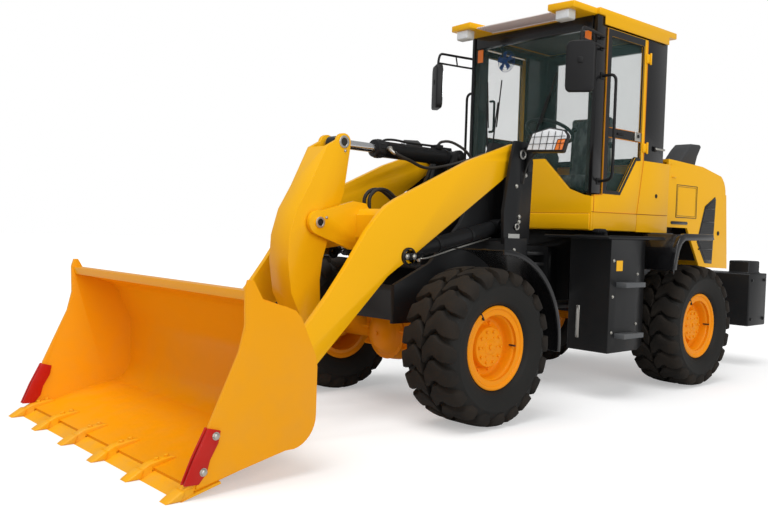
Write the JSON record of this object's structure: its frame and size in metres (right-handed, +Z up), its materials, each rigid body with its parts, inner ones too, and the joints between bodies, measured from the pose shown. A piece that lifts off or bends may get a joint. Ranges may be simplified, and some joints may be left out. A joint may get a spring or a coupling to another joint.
{
  "type": "articulated wheel loader",
  "caption": "Compact articulated wheel loader: open cab view, Z-bar bucket arms, yellow bodywork with charcoal frames and orange wheels.",
  "frame": {"origin": "on the ground under the middle of the machine's box, parked straight with the bucket down", "axes": "+Z up; the machine faces -Y, so the bucket is at the -Y end and the counterweight at the +Y end; its left side is +X"},
  "size_m": [2.03, 6.481, 2.885],
  "materials": {
    "rear_frame": "charcoal paint",
    "rear_axle": "orange paint",
    "side_tank_left": "charcoal paint",
    "side_tank_right": "charcoal paint",
    "rear_mudguard_left": "charcoal paint",
    "rear_mudguard_right": "charcoal paint",
    "cab_lower_body": "yellow gloss paint",
    "cab_frame": "charcoal paint",
    "cab_roof": "yellow gloss paint",
    "windscreen": "clear glass",
    "rear_window": "clear glass",
    "console": "black plastic",
    "steering_wheel": "black plastic",
    "driver_seat": "seat fabric",
    "engine_block": "painted casting",
    "counterweight": "painted casting",
    "mirror_left": "black plastic",
    "mirror_right": "black plastic",
    "grab_rail_left": "charcoal paint",
    "grab_rail_right": "charcoal paint",
    "front_frame": "charcoal paint",
    "front_axle": "orange paint",
    "front_mudguard_left": "charcoal paint",
    "front_mudguard_right": "charcoal paint",
    "headlamp_left": "charcoal paint",
    "headlamp_right": "charcoal paint",
    "lift_arms": "yellow gloss paint",
    "bucket": "yellow gloss paint",
    "cutting_edge": "worn yellow paint on steel",
    "tilt_link": "yellow gloss paint",
    "bellcrank": "yellow gloss paint",
    "lift_barrel_left": "charcoal paint",
    "lift_barrel_right": "charcoal paint",
    "lift_rod_left": "chromed rod",
    "lift_rod_right": "chromed rod",
    "tilt_barrel": "charcoal paint",
    "tilt_rod": "chromed rod",
    "engine_hood": "yellow gloss paint",
    "exhaust_cowl": "heat-resistant grey",
    "steer_barrel_left": "charcoal paint",
    "steer_rod_left": "chromed rod",
    "door_left": "yellow gloss paint",
    "door_glass_left": "clear glass",
    "front_left_tyre": "matt rubber",
    "front_left_rim": "orange paint",
    "rear_left_tyre": "matt rubber",
    "rear_left_rim": "orange paint",
    "steer_barrel_right": "charcoal paint",
    "steer_rod_right": "chromed rod",
    "door_right": "yellow gloss paint",
    "door_glass_right": "clear glass",
    "front_right_tyre": "matt rubber",
    "front_right_rim": "orange paint",
    "rear_right_tyre": "matt rubber",
    "rear_right_rim": "orange paint"
  },
  "bodies": {
    "chassis": {"rear_frame": "rear_frame", "rear_axle": "rear_axle", "side_tank_left": "side_tank_left", "side_tank_right": "side_tank_right", "rear_mudguard_left": "rear_mudguard_left", "rear_mudguard_right": "rear_mudguard_right", "cab_lower_body": "cab_lower_body", "cab_frame": "cab_frame", "cab_roof": "cab_roof", "windscreen": "windscreen", "rear_window": "rear_window", "console": "console", "steering_wheel": "steering_wheel", "driver_seat": "driver_seat", "engine_block": "engine_block", "counterweight": "counterweight", "mirror_left": "mirror_left", "mirror_right": "mirror_right", "grab_rail_left": "grab_rail_left", "grab_rail_right": "grab_rail_right"},
    "front_chassis": {"front_frame": "front_frame", "front_axle": "front_axle", "front_mudguard_left": "front_mudguard_left", "front_mudguard_right": "front_mudguard_right", "headlamp_left": "headlamp_left", "headlamp_right": "headlamp_right"},
    "arms": {"lift_arms": "lift_arms"},
    "bucket": {"bucket": "bucket", "cutting_edge": "cutting_edge"},
    "tilt_link": {"tilt_link": "tilt_link"},
    "bellcrank": {"bellcrank": "bellcrank"},
    "lift_barrels": {"lift_barrel_left": "lift_barrel_left", "lift_barrel_right": "lift_barrel_right"},
    "lift_rods": {"lift_rod_left": "lift_rod_left", "lift_rod_right": "lift_rod_right"},
    "tilt_barrel": {"tilt_barrel": "tilt_barrel"},
    "tilt_rod": {"tilt_rod": "tilt_rod"},
    "hood": {"engine_hood": "engine_hood", "exhaust_cowl": "exhaust_cowl"},
    "steer_barrel_left": {"steer_barrel_left": "steer_barrel_left"},
    "steer_rod_left": {"steer_rod_left": "steer_rod_left"},
    "door_left": {"door_left": "door_left", "door_glass_left": "door_glass_left"},
    "front_left_wheel": {"front_left_tyre": "front_left_tyre", "front_left_rim": "front_left_rim"},
    "rear_left_wheel": {"rear_left_tyre": "rear_left_tyre", "rear_left_rim": "rear_left_rim"},
    "steer_barrel_right": {"steer_barrel_right": "steer_barrel_right"},
    "steer_rod_right": {"steer_rod_right": "steer_rod_right"},
    "door_right": {"door_right": "door_right", "door_glass_right": "door_glass_right"},
    "front_right_wheel": {"front_right_tyre": "front_right_tyre", "front_right_rim": "front_right_rim"},
    "rear_right_wheel": {"rear_right_tyre": "rear_right_tyre", "rear_right_rim": "rear_right_rim"}
  },
  "joints": [
    {"name": "articulation", "type": "hinge", "parent": "chassis", "child": "front_chassis", "pos_m": [0, 0.256, 0.62], "axis": [0, 0, 1], "range_deg": [-35, 35]},
    {"name": "lift", "type": "hinge", "parent": "front_chassis", "child": "arms", "pos_m": [0, -0.3375, 1.74], "axis": [-1, 0, 0], "range_deg": [0, 66]},
    {"name": "bucket_tilt", "type": "hinge", "parent": "arms", "child": "bucket", "pos_m": [0, -2.3425, 0.25], "axis": [1, 0, 0], "range_deg": [-45, 95]},
    {"name": "lever_turn", "type": "hinge", "parent": "arms", "child": "bellcrank", "pos_m": [0, -1.8075, 1.225], "axis": [1, 0, 0], "range_deg": [-27.6, 13.1]},
    {"name": "link_turn", "type": "hinge", "parent": "bucket", "child": "tilt_link", "pos_m": [0, -2.3425, 0.5], "axis": [1, 0, 0], "range_deg": [-76.1, 36.1]},
    {"name": "lift_barrel_turn", "type": "hinge", "parent": "front_chassis", "child": "lift_barrels", "pos_m": [0, -0.3775, 1.24], "axis": [-1, 0, 0], "range_deg": [0, 60.3]},
    {"name": "lift_rod_slide", "type": "slide", "parent": "lift_barrels", "child": "lift_rods", "axis": [0, -0.9769, -0.2137], "range_m": [-0.005, 0.54]},
    {"name": "tilt_barrel_turn", "type": "hinge", "parent": "front_chassis", "child": "tilt_barrel", "pos_m": [0, -0.5295, 1.72], "axis": [-1, 0, 0], "range_deg": [0, 70]},
    {"name": "tilt_rod_slide", "type": "slide", "parent": "tilt_barrel", "child": "tilt_rod", "axis": [0, -0.9999, 0.014], "range_m": [-0.22, 0.105]},
    {"name": "steer_turn_left", "type": "hinge", "parent": "chassis", "child": "steer_barrel_left", "pos_m": [0.33, 0.7525, 0.66], "axis": [0, 0, 1], "range_deg": [-13, 13]},
    {"name": "steer_slide_left", "type": "slide", "parent": "steer_barrel_left", "child": "steer_rod_left", "axis": [0, -1, 0], "range_m": [-0.2, 0.2]},
    {"name": "door_turn_left", "type": "hinge", "parent": "chassis", "child": "door_left", "pos_m": [0.632, 1.0525, 2.25], "axis": [0, 0, 1], "range_deg": [0, 95]},
    {"name": "steer_turn_right", "type": "hinge", "parent": "chassis", "child": "steer_barrel_right", "pos_m": [-0.33, 0.7525, 0.66], "axis": [0, 0, 1], "range_deg": [-13, 13]},
    {"name": "steer_slide_right", "type": "slide", "parent": "steer_barrel_right", "child": "steer_rod_right", "axis": [0, -1, 0], "range_m": [-0.2, 0.2]},
    {"name": "door_turn_right", "type": "hinge", "parent": "chassis", "child": "door_right", "pos_m": [-0.632, 1.0525, 2.25], "axis": [0, 0, -1], "range_deg": [0, 95]},
    {"name": "hood_turn", "type": "hinge", "parent": "chassis", "child": "hood", "pos_m": [0, 1.4895, 1.8], "axis": [1, 0, 0], "range_deg": [0, 45]},
    {"name": "front_left_spin", "type": "hinge", "parent": "front_chassis", "child": "front_left_wheel", "pos_m": [0.735, -0.9975, 0.49], "axis": [1, 0, 0], "continuous": true},
    {"name": "rear_left_spin", "type": "hinge", "parent": "chassis", "child": "rear_left_wheel", "pos_m": [0.735, 1.5095, 0.49], "axis": [1, 0, 0], "continuous": true},
    {"name": "front_right_spin", "type": "hinge", "parent": "front_chassis", "child": "front_right_wheel", "pos_m": [-0.735, -0.9975, 0.49], "axis": [1, 0, 0], "continuous": true},
    {"name": "rear_right_spin", "type": "hinge", "parent": "chassis", "child": "rear_right_wheel", "pos_m": [-0.735, 1.5095, 0.49], "axis": [1, 0, 0], "continuous": true}
  ],
  "couplings": [
    {"joint": "lever_turn", "follows": "bucket_tilt", "ratio": -0.29},
    {"joint": "link_turn", "follows": "bucket_tilt", "ratio": -0.8},
    {"joint": "lift_barrel_turn", "follows": "lift", "ratio": 0.913},
    {"joint": "lift_rod_slide", "follows": "lift", "m_per_rad": 0.4618},
    {"joint": "tilt_barrel_turn", "follows": "lift", "ratio": 1.06},
    {"joint": "tilt_rod_slide", "follows": "bucket_tilt", "m_per_rad": -0.13},
    {"joint": "steer_turn_left", "follows": "articulation", "ratio": 0.36},
    {"joint": "steer_turn_right", "follows": "articulation", "ratio": 0.36},
    {"joint": "steer_slide_left", "follows": "articulation", "m_per_rad": -0.32},
    {"joint": "steer_slide_right", "follows": "articulation", "m_per_rad": 0.32}
  ]
}
